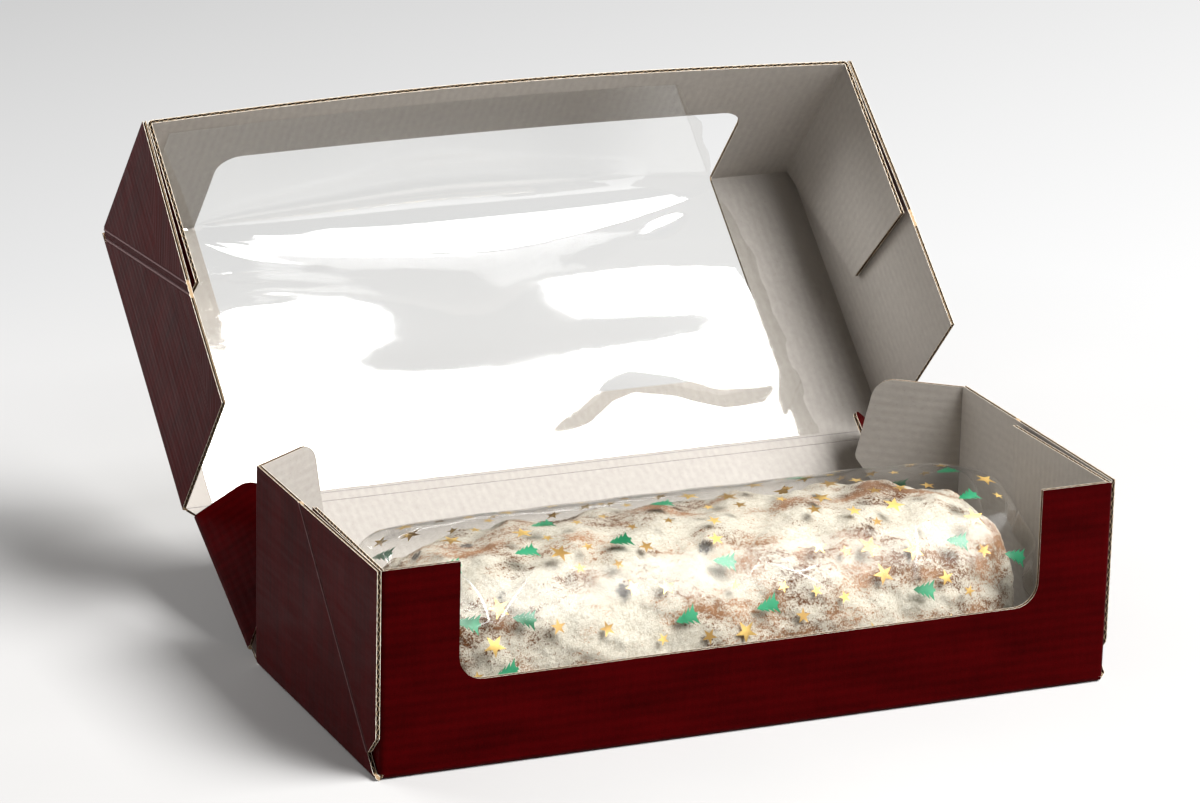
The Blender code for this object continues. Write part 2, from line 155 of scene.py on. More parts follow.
def burgundy_print():
    """Burgundy ink with soft bands across the flutes, over the liner's faint ribs."""
    m = Finish("burgundy_print", on_board=True)
    bands = m.stripes("Y", 3.7, 2.2, 0.06)
    drift = m.grain((38, 11, 20))
    streaks = m.grain((4, 26, 10), 5.0, 0.65)
    grain = m.grain((0.8, 0.5, 1), 6.0, 0.7)
    shade = m.add(m.remap(bands, 0, 1, -0.07, 0.07), drift)
    shade = m.add(shade, m.remap(streaks, 0.3, 0.7, -0.05, 0.05))
    shade = m.add(shade, m.remap(grain, 0.3, 0.7, -0.14, 0.14))
    ink = m.tint(shade, 0.2, 0.8, (0.021, 0.0, 0.0002), (0.05, 0.0002, 0.0007))
    ribs = m.stripes("X", FLUTE_PITCH, 0.5, 0.1)
    height = m.add(m.times(ribs, 0.3), m.times(streaks, 1.1))
    height = m.add(height, m.times(grain, 0.12))
    return m.shade(ink, m.remap(streaks, 0.3, 0.7, 0.3, 0.46), height, 0.1, Specular_IOR_Level=0.012)


def grey_liner():
    """Recycled grey-white paper with flecks, cloudy fibres and faint ribs, with painted shade in darker
    stripes along the ribs.
    """
    m = Finish("grey_liner", on_board=True)
    ribs = m.stripes("X", FLUTE_PITCH, 0.15, 0.2)
    clouds = m.grain((2.2, 3.4, 3), 5.0, 0.6)
    fibres = m.grain((0.35, 1.1, 1), 3.0, 0.6)
    flecks = m.grain((0.5, 0.9, 1), 1.0)
    paper = m.tint(clouds, 0.3, 0.7, (0.38, 0.35, 0.32), (0.44, 0.41, 0.375))
    # Painted shade: the paper darkens in stripes that follow the flute ribs.
    paper = m.mix(m.remap(ribs, 0, 1, 0, 0.13), paper, (0.28, 0.255, 0.23, 1))
    paper = m.mix(m.remap(flecks, 0.68, 0.8, 0, 0.5), paper, (0.2, 0.17, 0.14, 1))
    height = m.add(ribs, m.times(fibres, 0.9))
    return m.shade(paper, m.remap(clouds, 0.3, 0.7, 0.72, 0.86), height, 0.022, Specular_IOR_Level=0.25)


def plain_paper(name, dark, bright, stretch, fibre_roughness, roughness, depth):
    """Bare paper whose fibres run between two tones."""
    m = Finish(name, on_board=True)
    fibres = m.grain(stretch, 4.0, fibre_roughness)
    paper = m.tint(fibres, 0.3, 0.7, dark, bright)
    return m.shade(paper, roughness, fibres, depth)


def cut_edge():
    """The liners where the die has cut them: pale, frayed paper."""
    m = Finish("cut_edge")
    frays = m.noise(900.0, 3.0)
    paper = m.tint(frays, 0.35, 0.65, (0.5, 0.4, 0.28), (0.8, 0.74, 0.64))
    return m.shade(paper, 0.9, frays, 0.04)


def worn_print_with_highlight(name, line_at):
    """The print on a scored crease, rubbed pale along the two lines where it stands proud; the pale lines
    are also a painted highlight.
    """
    m = Finish(name, on_board=True)
    off_line = m.math("ABSOLUTE", m.math("SUBTRACT", m.across(), line_at))
    rubs = m.grain((0.5, 3, 1), 4.0, 0.6)
    # Painted highlight: the ink turns pale along the raised lines, standing in for both rubbed wear and the
    # lines' highlight.
    worn_and_highlight = m.times(m.remap(off_line, 0.1, 0.45, 1, 0), m.remap(rubs, 0.25, 0.6, 0.5, 1))
    ink = m.mix(worn_and_highlight, (0.03, 0.0002, 0.0005, 1), (0.2, 0.12, 0.12, 1))
    return m.shade(ink, m.remap(rubs, 0.3, 0.7, 0.35, 0.5), rubs, 0.03, Specular_IOR_Level=0.012)


def change_finish(shells, old, new):
    """The shells with one finish changed for another."""
    return [(points, faces, np.where(slots == old, new, slots), at) for points, faces, slots, at in shells]


# The kraft inside the board is painted almost black, as painted shade, since it is only seen in the shade
# between the flutes. Pressed liner is what a crease that moves has crushed, and its darker grey is painted
# shade in the crease's groove.
BOARD_FINISHES = [
    burgundy_print(),
    grey_liner(),
    plain_paper("kraft_in_painted_shade", (0.03, 0.014, 0.008), (0.08, 0.042, 0.022), (0.5, 1.4, 1), 0.7, 0.9, 0.04),
    plain_paper("kraft_edge", (0.3, 0.19, 0.1), (0.47, 0.33, 0.19), (0.5, 1.4, 1), 0.7, 0.9, 0.04),
    cut_edge(),
    plain_paper("pressed_liner_and_shade", (0.2, 0.19, 0.2), (0.3, 0.28, 0.28), (0.4, 2.5, 1), 0.6, 0.8, 0.03),
]


def slab(low, high, slots, places=None, kept=None):
    """A closed slab between two grids of points, with a rim round the cells that are kept.
    slots are the finishes of the high face, the low face and the rim, and places what they
    read at each point."""
    index = np.arange(low[..., 0].size).reshape(low.shape[:2])
    if kept is None:
        kept = np.ones(index[1:, 1:].shape, bool)
    count = index.size
    a, b, c, d = index[:-1, :-1], index[1:, :-1], index[1:, 1:], index[:-1, 1:]
    gone = np.pad(~kept, 1, constant_values=True)
    free = (gone[1:-1, :-2], gone[2:, 1:-1], gone[1:-1, 2:], gone[:-2, 1:-1])
    tops = np.stack([a, b, c, d], -1)[kept] + count
    bottoms = np.stack([a, d, c, b], -1)[kept]
    edges = zip((a, b, c, d), (b, c, d, a), free)
    rims = np.concatenate([np.stack([p, q, q + count, p + count], -1)[kept & end] for p, q, end in edges])
    points = np.concatenate([low.reshape(-1, 3), high.reshape(-1, 3)])
    faces = np.concatenate([tops, bottoms, rims])
    corners = (points - points.mean(0))[faces]
    spans = np.cross(corners[:, 1], corners[:, 2]) + np.cross(corners[:, 2], corners[:, 3])
    if np.einsum("ij,ij->", corners[:, 0], spans) < 0:
        faces = faces[:, ::-1]
    slots = np.repeat(slots, [len(tops), len(bottoms), len(rims)])
    return points, faces, slots, points if places is None else places


def add_object(name, data):
    """A new object in the scene."""
    made = bpy.data.objects.new(name, data)
    bpy.context.scene.collection.objects.link(made)
    return made


def add_piece(name, shells, nodes=(), finishes=BOARD_FINISHES, sharp=35):
    """Joins shells into one piece in metres, and hides the nodes that it stands for."""
    starts = np.cumsum([0] + [len(shell[0]) for shell in shells])
    faces = np.concatenate([shell[1] + start for shell, start in zip(shells, starts)])
    points, _, slots, places = (np.concatenate(parts) for parts in zip(*shells))
    mesh = bpy.data.meshes.new(name)
    mesh.from_pydata((points * MM).tolist(), [], faces.tolist())
    mesh.polygons.foreach_set("material_index", slots.astype(np.int32))
    mesh.attributes.new("board", "FLOAT_VECTOR", "POINT").data.foreach_set(
        "vector", places.astype(np.float32).ravel()
    )
    body = bmesh.new()
    body.from_mesh(mesh)
    bmesh.ops.remove_doubles(body, verts=body.verts, dist=WELD)
    bmesh.ops.dissolve_degenerate(body, edges=body.edges, dist=WELD / 2)
    loose = [vertex for vertex in body.verts if not vertex.link_faces]
    bmesh.ops.delete(body, geom=loose, context="VERTS")
    body.to_mesh(mesh)
    body.free()
    for finish in finishes:
        mesh.materials.append(finish)
    mesh.shade_smooth()
    mesh.set_sharp_from_angle(angle=math.radians(sharp))
    piece = add_object(name, mesh)
    if nodes:
        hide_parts(*nodes)
    return piece


def stations(breaks, step):
    """Positions from the first break to the last, at most a step apart, with every break."""
    spans = [
        np.linspace(start, end, max(1, math.ceil((end - start) / step)) + 1)[:-1]
        for start, end in zip(breaks, breaks[1:])
    ]
    return np.concatenate([*spans, [breaks[-1]]])


def board(place, breaks, lines, kept=None, step=24.0, fluted=True, inner=0.0):
    """A panel of board as three closed layers: outer liner, waved medium and inner liner.
    place gives the point a across the flutes, b along them and depth out from the inner face,
    lines the rows' b at a, lowest first, and kept the cells of a column that are there."""
    mid = BOARD / 2
    core = LINER + LAYER_GAP
    wave_height = (BOARD - 2 * core - MEDIUM) / 2
    shells = []
    layers = [(BOARD - LINER, BOARD, (PRINT, KRAFT_IN_SHADE, CUT))]
    if fluted:
        layers.append((mid - MEDIUM / 2, mid + MEDIUM / 2, (KRAFT_IN_SHADE, KRAFT_IN_SHADE, KRAFT)))
    else:
        layers.append((inner + LINER + LAYER_GAP, BOARD - core, (KRAFT_IN_SHADE, KRAFT_IN_SHADE, KRAFT)))
    layers.append((inner, inner + LINER, (KRAFT_IN_SHADE, GREY, CUT)))
    for layer, (low, high, slots) in enumerate(layers):
        waving = fluted and layer == 1
        a = stations(breaks, FLUTE_PITCH / FLUTE_STEPS if waving else step)
        b = np.stack(np.broadcast_arrays(a, *lines(a))[1:], -1)
        a_grid = np.broadcast_to(a[:, None], b.shape)
        wave = wave_height * np.sin(2 * np.pi * a_grid / FLUTE_PITCH) * waving
        sides = [place(a_grid, b, side + wave) for side in (low, high)]
        places = [np.stack([a_grid, b, np.full(b.shape, side)], -1).reshape(-1, 3) for side in (low, high)]
        shells.append(slab(*sides, slots, np.concatenate(places), kept and kept((a[:-1] + a[1:]) / 2)))
    return shells


def flat(origin, across, up, outward, flutes_up=True):
    """The place function of a flat panel, from its origin and its directions along the crease,
    away from it and outward."""
    origin, across, up, outward = (np.array(item, float) for item in (origin, across, up, outward))
    first, second = (across, up) if flutes_up else (up, across)

    def place(a, b, depth):
        return origin + a[..., None] * first + b[..., None] * second + depth[..., None] * outward

    return place


def wrapped_front(half, spring):
    """The plan of a front strip, which turns back into a glue flap at each end: for s along it
    and a depth, the distance to the side, behind the wall's inner face and along the flap.
    Where the turn starts and ends is returned too."""
    turn = math.pi / 2 + spring
    straight = half - FOLD_RADIUS
    arc = (FOLD_RADIUS + BOARD / 2) * turn

    def run(s, depth):
        far = np.abs(s)
        angle = np.clip((far - straight) / arc, 0, 1) * turn
        along = np.maximum(0, far - straight - arc)
        radius = FOLD_RADIUS + depth
        side = np.minimum(far, straight) + radius * np.sin(angle) + along * math.cos(turn)
        behind = FOLD_RADIUS - radius * np.cos(angle) + along * math.sin(turn)
        return np.sign(s) * side, behind, along

    return run, straight, straight + arc


def notch_line(x, level, radius, half):
    """The end of a cut-out of that half width, with its level and its rounded corners. A
    negative radius turns the corners down."""
    inward = np.clip((np.abs(x) - half + abs(radius)) / abs(radius), 0, 1)
    return level + radius - radius * np.sqrt(1 - inward**2)


def column_breaks(half, *stops):
    """Where the columns stand: in a cut-out's rounded corners and at other stops outside it."""
    corner = [half - OPENING_RADIUS * (1 - math.sin(math.pi / 14 * step)) for step in range(8)]
    stops = [*corner, *stops]
    return [-stop for stop in reversed(stops)] + stops


FRONT_RUN, FRONT_STRAIGHT, FRONT_FLAP = wrapped_front(TRAY_HALF - BOARD - FOLD_RADIUS - BOARD, FLAP_SPRING)


def front_breaks(half, straight, flap):
    """Where the columns of a front strip stand, for its cut-out's half width and its fold."""
    flap_stops = [flap + FLAP_BEND - FLAP_START, flap + FLAP_TIP - FLAP_START]
    return column_breaks(half, *np.linspace(straight, flap, 7), *flap_stops)


def flap_foot(along, foot, top):
    """The lower edge of a glue flap: a taper, and then a steep slanting end."""
    return np.interp(along + FLAP_START, [FLAP_START, FLAP_BEND, FLAP_TIP], [foot, FLAP_TAPER, top])


def tray_front_place(a, b, depth):
    side, behind, _ = FRONT_RUN(a, depth)
    return np.stack([side, TRAY_FRONT + BOARD + behind, b], -1)


def tray_front_lines(a):
    """Foot, sill line and top of the strip."""
    along = np.maximum(0, np.abs(a) - FRONT_FLAP)
    on_flap = np.clip((np.abs(a) - FRONT_STRAIGHT) / (FRONT_FLAP - FRONT_STRAIGHT), 0, 1)
    foot = flap_foot(along, FLAP_START, FLAP_TOP)
    top = TRAY_HEIGHT + (FLAP_TOP - TRAY_HEIGHT) * on_flap
    sill = np.clip(notch_line(a, SILL_HEIGHT, OPENING_RADIUS, OPENING_HALF), foot, top)
    return foot, sill, top


def beside_opening(a):
    return np.stack([a > -1e9, np.abs(a) > OPENING_HALF], -1)


breaks = front_breaks(OPENING_HALF, FRONT_STRAIGHT, FRONT_FLAP)
tray_front = add_piece(
    "tray_front",
    board(tray_front_place, breaks, tray_front_lines, beside_opening),
    ["tray_front_wall", "tray_front_glue_flap_left", "tray_front_glue_flap_right"],
)
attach(tray_front, "tray")

# The tray's bottom
# The panel that the box stands on. It joins the front and the ends in creases that are
# pressed round on the outside.
TRAY_INNER_HALF = TRAY_HALF - BOARD
FOLD_CENTRE = BOARD + FOLD_RADIUS
REAR_CREASE = (60.8, 1.5)
SETBACK = 0.15
DUST_FLAP_Y = 57.2
END_FOLD_START, END_FOLD_SHIFT = 1.5, 1.4  # the right end's fold starts further back
X, Y, Z = np.eye(3)


def fold(centre, along, out_a, out_b, low, high, carry=lambda points: points):
    """A fixed fold: a quarter turn of crushed board about a line, between two stops along it."""
    centre = np.array(centre, float)
    length = (FOLD_RADIUS + BOARD / 2) * math.pi / 2

    def place(a, b, depth):
        angle = a[..., None] / length * math.pi / 2
        arm = np.cos(angle) * out_a + np.sin(angle) * out_b
        return carry(centre + (FOLD_RADIUS + depth)[..., None] * arm + b[..., None] * along)

    return board(place, [0, length], lambda a: (low, high), step=length / 6, fluted=False)


bottom_half = TRAY_INNER_HALF - FOLD_RADIUS
tray_bottom = board(
    flat((0, 0, BOARD), X, Y, -Z),
    [-bottom_half, bottom_half],
    lambda a: (TRAY_FRONT + FOLD_CENTRE, REAR_CREASE[0] - SETBACK),
)
tray_bottom += fold((0, TRAY_FRONT + FOLD_CENTRE, FOLD_CENTRE), X, -Z, -Y, 1 - bottom_half, bottom_half - 1)
for side in (-1, 1):
    low = TRAY_FRONT + END_FOLD_START + END_FOLD_SHIFT * side
    tray_bottom += fold((side * bottom_half, 0, FOLD_CENTRE), Y, -Z, side * X, low, DUST_FLAP_Y - SETBACK)
base = add_piece("tray_bottom_board", tray_bottom, ["tray_bottom"])
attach(base, "tray")

# The tray's ends
# Each end has a diagonal crease, so that the tray can be folded flat. The triangle in front of
# it is glued to the front's glue flap, and its lowest corner is cut off.
SIDES = {"left": -1, "right": 1}
CREASE_HALF = 0.9
GUSSET_SETBACKS = {"left": 0.0, "right": 2.2}
CLIP = 15
CLIP_MEET, CLIP_STEP, CLIP_GAP = 7.6, 0.1, 0.2
GUSSET_LOW = 0.6  # how far above the meeting point its lowest corner lies


def score(place, low, top, lines_at=((-0.3, 0.3, -0.32), (0.4, 0.3, 0.3)), half=CREASE_HALF):
    """A crease that lies in one panel, from low along it to the edge at height top. Its lines,
    smooth grooves and ridges, are each (place, half width, height)."""

    def pressed(a, b, depth):
        press = sum(height * np.exp(-(((a - at) / width) ** 2)) for at, width, height in lines_at)
        return place(a, b, depth + press * depth / BOARD)

    def ends(a):
        return low + np.maximum(0, a), top * math.sqrt(2) + a

    return board(pressed, [-half, half], ends, step=half / 12, fluted=False)


def diagonal(panel):
    """A flat panel's place function, turned to run where height and length are equal."""
    root = math.sqrt(2)
    return lambda a, b, depth: panel((b - a) / root, (b + a) / root, depth)


worn_single_with_highlight = worn_print_with_highlight("worn_single_crease_with_highlight", 0.4)
for name, side in SIDES.items():
    panel = flat((side * TRAY_INNER_HALF, TRAY_FRONT, 0), Y, Z, side * X, flutes_up=False)
    shift = CREASE_HALF * math.sqrt(2)
    breaks = [FOLD_CENTRE, CLIP_MEET, CLIP_MEET + CLIP_STEP, TRAY_HEIGHT]
    rear = DUST_FLAP_Y - TRAY_FRONT - SETBACK
    wall = board(
        panel, breaks, lambda a: (a + np.where(a > CLIP_MEET + CLIP_STEP / 2, shift, CLIP_GAP), rear)
    )
    gusset = board(
        panel,
        [CLIP_MEET + GUSSET_LOW, CLIP, TRAY_HEIGHT],
        lambda a: (np.maximum(GUSSET_SETBACKS[name], CLIP - a), np.maximum(a - shift, CLIP - a)),
    )
    ridge = score(diagonal(panel), CLIP / math.sqrt(2) + 0.1, TRAY_HEIGHT)
    end = add_piece(
        "tray_end_" + name,
        wall + gusset + change_finish(ridge, PRINT, WORN_WITH_HIGHLIGHT),
        ["tray_end_wall_" + name, "tray_end_gusset_" + name],
        finishes=[*BOARD_FINISHES, worn_single_with_highlight],
    )
    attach(end, "tray")

# The dust flaps
# They hang on the ends' rear edges and fold in behind the stollen. Each is rounded at its
# upper corner and cut back below.
DUST_FLAP_FOLDS = {"left": math.radians(55), "right": math.radians(51)}
DUST_REACH, DUST_TIP_HEIGHT, DUST_TOP_REACH = 40, 43, 33
DUST_HEEL_REACH, DUST_HEEL_HEIGHT, DUST_FOOT_REACH = 11, 5, 2
TIP_RADIUS = 3
TOP_RADIUS = 9
CRUSHED = 0.12  # how far a moving crease's inner liner is pressed into the board


def rounded(corners):
    """An outline whose corners are (x, y) or (x, y, radius), with each arc in eight steps."""
    points = []
    for index, corner in enumerate(corners):
        here = np.array(corner[:2], float)
        if len(corner) == 2:
            points.append(here)
            continue
        back = np.array(corners[index - 1][:2], float) - here
        ahead = np.array(corners[(index + 1) % len(corners)][:2], float) - here
        back, ahead = back / np.linalg.norm(back), ahead / np.linalg.norm(ahead)
        half = math.acos(np.clip(back @ ahead, -1, 1)) / 2
        middle = (back + ahead) / np.linalg.norm(back + ahead)
        centre = here + middle * corner[2] / math.sin(half)
        start = here + back * corner[2] / math.tan(half) - centre
        end = here + ahead * corner[2] / math.tan(half) - centre
        sweep = math.pi - 2 * half
        for share in np.linspace(0, 1, 9):
            arm = start * math.sin((1 - share) * sweep) + end * math.sin(share * sweep)
            points.append(centre + arm / math.sin(sweep))
    return np.array(points)


def crease(name, bodies, point, out_a, out_b, along, low, high):
    """A crease that moves: crushed board on an arc about the crease's line, with a short lip on each panel.
    The two bodies that it lies between are not used."""
    point, out_a, out_b, along = (np.array(item, float) for item in (point, out_a, out_b, along))
    turn = math.acos(np.clip(out_a @ out_b, -1, 1))
    arc = BOARD * turn
    toward_a = (math.cos(turn) * out_a - out_b) / math.sin(turn)
    toward_b = (math.cos(turn) * out_b - out_a) / math.sin(turn)

    def place(a, b, depth):
        angle = np.clip(a / arc, 0, 1)[..., None] * turn
        arm = (np.sin(turn - angle) * out_a + np.sin(angle) * out_b) / math.sin(turn)
        lips = np.maximum(0, -a)[..., None] * toward_a + np.maximum(0, a - arc)[..., None] * toward_b
        return point + depth[..., None] * arm + lips + b[..., None] * along

    stops = [-SETBACK, 0, arc, arc + SETBACK]
    step = max(arc / 8, 0.05)
    shells = board(place, stops, lambda a: (low, high), step=step, fluted=False, inner=CRUSHED)
    # The crease's inner liner gets the darker pressed finish, which is painted shade in its groove.
    piece = add_piece(name, change_finish(shells, GREY, PRESSED_AND_SHADED))
    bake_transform(piece)


for name, side in SIDES.items():
    angle = DUST_FLAP_FOLDS[name]
    away = np.array((-side * math.sin(angle), math.cos(angle), 0))
    outward = np.array((side * math.cos(angle), math.sin(angle), 0))
    outline = rounded(
        [
            (DUST_FOOT_REACH, FLAP_START),
            (DUST_HEEL_REACH, DUST_HEEL_HEIGHT),
            (DUST_REACH, DUST_TIP_HEIGHT, TIP_RADIUS),
            (DUST_TOP_REACH, FLAP_TOP, TOP_RADIUS),
            (SETBACK, FLAP_TOP),
        ]
    )
    corner = (side * TRAY_INNER_HALF, DUST_FLAP_Y, 0)
    reaches, heights = outline[:-1].T
    panel = flat(corner, away, Z, outward, flutes_up=False)
    panel = board(panel, list(heights), lambda a: (SETBACK, np.interp(a, heights, reaches)))
    flap = add_piece("dust_flap_board_" + name, panel, ["dust_flap_" + name])
    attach(flap, name + "_dust_flap")
    crease(
        "dust_flap_crease_" + name,
        ("tray", name + "_dust_flap"),
        *(corner, side * X, outward, Z, FLAP_START, FLAP_TOP),
    )

# The rear wall and its flaps
# The wall is creased to the bottom and leans back while the box is open. The flaps on its side
# edges show their printed side, because they are folded in over it.


def leaning(angle):
    """The upward and outward directions of a panel that leans back by the angle."""
    sine, cosine = math.sin(angle), math.cos(angle)
    return np.array((0, sine, cosine)), np.array((0, cosine, -sine))


LEAN = math.radians(62.5)
WALL_UP, WALL_OUT = leaning(LEAN)
WALL_FOOT = np.array((0, *REAR_CREASE))
WALL_HALF = 138.7
WALL_HEIGHT = 71.009
REAR_FLAP_FOLDS = {"left": math.radians(138), "right": math.radians(135)}
REAR_FLAP_REACH, REAR_FLAP_TIP, REAR_FLAP_TOP_REACH, REAR_FLAP_FOOT = 34, 43, 25, 5
REAR_FLAP_TOP = WALL_HEIGHT - 0.5

panel = flat(WALL_FOOT, X, WALL_UP, WALL_OUT)
panel = board(panel, [-WALL_HALF, WALL_HALF], lambda a: (SETBACK, WALL_HEIGHT - SETBACK))
rear_wall = add_piece("rear_wall_board", panel, ["rear_wall"])
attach(rear_wall, "rear_wall_panel")
wall_bodies = ("tray", "rear_wall_panel")
crease("rear_wall_crease", wall_bodies, WALL_FOOT, -Z, WALL_OUT, X, -bottom_half, bottom_half)
for name, side in SIDES.items():
    angle = REAR_FLAP_FOLDS[name]
    away = side * math.cos(angle) * X - math.sin(angle) * WALL_OUT
    outward = math.sin(angle) * side * X + math.cos(angle) * WALL_OUT
    corner = WALL_FOOT + side * (WALL_HALF + SETBACK) * X - SETBACK * WALL_OUT
    outline = rounded(
        [
            (SETBACK, REAR_FLAP_FOOT),
            (REAR_FLAP_REACH, REAR_FLAP_TIP, TIP_RADIUS),
            (REAR_FLAP_TOP_REACH, REAR_FLAP_TOP, TOP_RADIUS),
            (SETBACK, REAR_FLAP_TOP),
        ]
    )
    widest = int(np.argmax(outline[:, 0]))
    foot, top = outline[: widest + 1].T, outline[widest:][::-1].T
    breaks = sorted({round(float(x), 4) for x in (*foot[0], *top[0])})
    panel = flat(corner + SETBACK * outward, away, WALL_UP, outward)
    panel = board(panel, breaks, lambda a: (np.interp(a, *foot), np.interp(a, *top)))
    flap = add_piece("rear_flap_board_" + name, panel, ["rear_wall_flap_" + name])
    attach(flap, name + "_rear_flap")
    crease(
        "rear_flap_crease_" + name,
        ("rear_wall_panel", name + "_rear_flap"),
        *(corner, WALL_OUT, outward, WALL_UP, REAR_FLAP_FOOT, REAR_FLAP_TOP),
    )

# The band between the lid's two creases
# A narrow strip that lets the lid turn over the rear wall's top edge. It widens towards the lid.
BAND_LEAN = LEAN - math.radians(7.5)
BAND_FOOT = WALL_FOOT + WALL_HEIGHT * WALL_UP
BAND_UP, BAND_OUT = leaning(BAND_LEAN)
BAND_HEIGHT = 3.8
LID_HALF = 141.9
LID_LEAN = BAND_LEAN - math.radians(6)
LID_FOOT = BAND_FOOT + BAND_HEIGHT * BAND_UP
LID_BACK, LID_OUT = leaning(LID_LEAN)


def band_end(a):
    """Where the band's slanting ends cut a line that is a from its middle."""
    rise = (np.abs(a) - WALL_HALF) / (LID_HALF - WALL_HALF)
    return np.clip(SETBACK + rise * (BAND_HEIGHT - 2 * SETBACK), SETBACK, BAND_HEIGHT - SETBACK)


panel = flat(BAND_FOOT, X, BAND_UP, BAND_OUT)
breaks = [-LID_HALF, -WALL_HALF, WALL_HALF, LID_HALF]
panel = board(panel, breaks, lambda a: (band_end(a), BAND_HEIGHT - SETBACK))
band = add_piece("hinge_band_board", panel, ["hinge_band"])
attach(band, "band")
band_bodies = ("rear_wall_panel", "band")
crease("band_lower_crease", band_bodies, BAND_FOOT, WALL_OUT, BAND_OUT, X, -WALL_HALF, WALL_HALF)
crease("band_upper_crease", ("band", "lid"), LID_FOOT, BAND_OUT, LID_OUT, X, -LID_HALF, LID_HALF)

# The lid's top panel and front wall
# The window is one cut-out through both. The front wall is one strip with its glue flaps, and
# its free edge bows out where nothing holds it.
LID_DEPTH = 120.5
LID_WALL = 73.5
LID_REACH = LID_DEPTH + BOARD
LID_CORNER_HALF = LID_HALF + 0.3
WINDOW_HALF = 107.5
WINDOW_HINGE_MARGIN = 30
WINDOW_FRONT_DEPTH = 45
BOW, BOW_POWER, BOW_STEP = 4.5, 1.5, 9
LID_END_SHORT = 0.3  # how far the end folds stop behind the lid's front


def in_lid(points):
    """Carries over points given across the lid, deep from its crease and high off its inside."""
    across, depth, height = points[..., 0:1], points[..., 1:2], points[..., 2:3]
    return LID_FOOT + across * X + depth * LID_BACK - height * LID_OUT


def lid_flat(origin, across, up, outward, flutes_up=True):
    """The place function of a flat panel that is given in the lid's own directions."""
    panel = flat(origin, across, up, outward, flutes_up)
    return lambda a, b, depth: in_lid(panel(a, b, depth))


panel_half = LID_CORNER_HALF - FOLD_RADIUS
lid_panel = board(
    lid_flat((0, 0, 0), X, Y, -Z),
    column_breaks(WINDOW_HALF, panel_half),
    lambda a: (
        SETBACK,
        notch_line(a, WINDOW_HINGE_MARGIN, OPENING_RADIUS, WINDOW_HALF),
        LID_DEPTH - FOLD_RADIUS,
    ),
    kept=lambda a: np.stack([a > -1e9, np.abs(a) > WINDOW_HALF], -1),
)
for low, high in ((-panel_half, -WINDOW_HALF), (WINDOW_HALF, panel_half)):
    centre = (0, LID_DEPTH - FOLD_RADIUS, FOLD_RADIUS)
    lid_panel += fold(centre, X, -Z, Y, low, high, in_lid)
for side in (-1, 1):
    centre = (side * panel_half, 0, FOLD_RADIUS)
    lid_panel += fold(centre, Y, -Z, side * X, SETBACK, LID_REACH - LID_END_SHORT, in_lid)
lid_top = add_piece("lid_top_board", lid_panel, ["lid_top_panel"])
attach(lid_top, "lid")

LID_RUN, LID_STRAIGHT, LID_FLAP = wrapped_front(LID_HALF - BOARD, 0)


def bow_at(across, height):
    """How far the front wall bows out: a half cosine along it times a power of the height."""
    along = np.cos(math.pi / 2 * np.minimum(1, np.abs(across) / LID_HALF))
    return BOW * along * np.clip(height / LID_WALL, 0, 1) ** BOW_POWER


def lid_front_place(a, b, depth):
    side, behind, along = LID_RUN(a, depth)
    bow = np.where(np.abs(a) < LID_FLAP, bow_at(side, b), 0)
    return in_lid(np.stack([side, LID_DEPTH - behind + bow, b], -1))


def lid_front_lines(a):
    """Crease, window edge and free edge of the strip, with rows between them for the bow."""
    along = np.maximum(0, np.abs(a) - LID_FLAP)
    foot = flap_foot(along, FOLD_RADIUS, LID_WALL)
    edge = np.clip(notch_line(a, WINDOW_FRONT_DEPTH, -OPENING_RADIUS, WINDOW_HALF), foot, LID_WALL)
    lower = [foot + (edge - foot) * share for share in (0, 0.35, 0.7)]
    upper = [edge + (LID_WALL - edge) * share for share in (0, 0.25, 0.5, 0.75, 1)]
    return (*lower, *upper)


def lid_front_kept(a):
    solid = np.abs(a) > WINDOW_HALF
    return np.stack([solid] * 3 + [np.ones_like(solid)] * 4, -1)


breaks = front_breaks(WINDOW_HALF, LID_STRAIGHT, LID_FLAP)
lid_front = add_piece(
    "lid_front",
    board(lid_front_place, breaks, lid_front_lines, lid_front_kept, BOW_STEP),
    ["lid_front_wall", "lid_front_glue_flap_left", "lid_front_glue_flap_right"],
)
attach(lid_front, "lid")

# The lid's ends
# Each splays out a little, with a double diagonal crease between the wall and the triangle
# that is glued to the glue flap.
SPLAY = math.radians(1.3)
LID_SCORE_HALF = 2.6
DOUBLE_SCORE = ((-1.7, 0.3, 0.2), (-1.0, 0.3, -0.2), (1.0, 0.3, -0.2), (1.7, 0.3, 0.2))
worn_double_with_highlight = worn_print_with_highlight("worn_double_crease_with_highlight", 1.7)

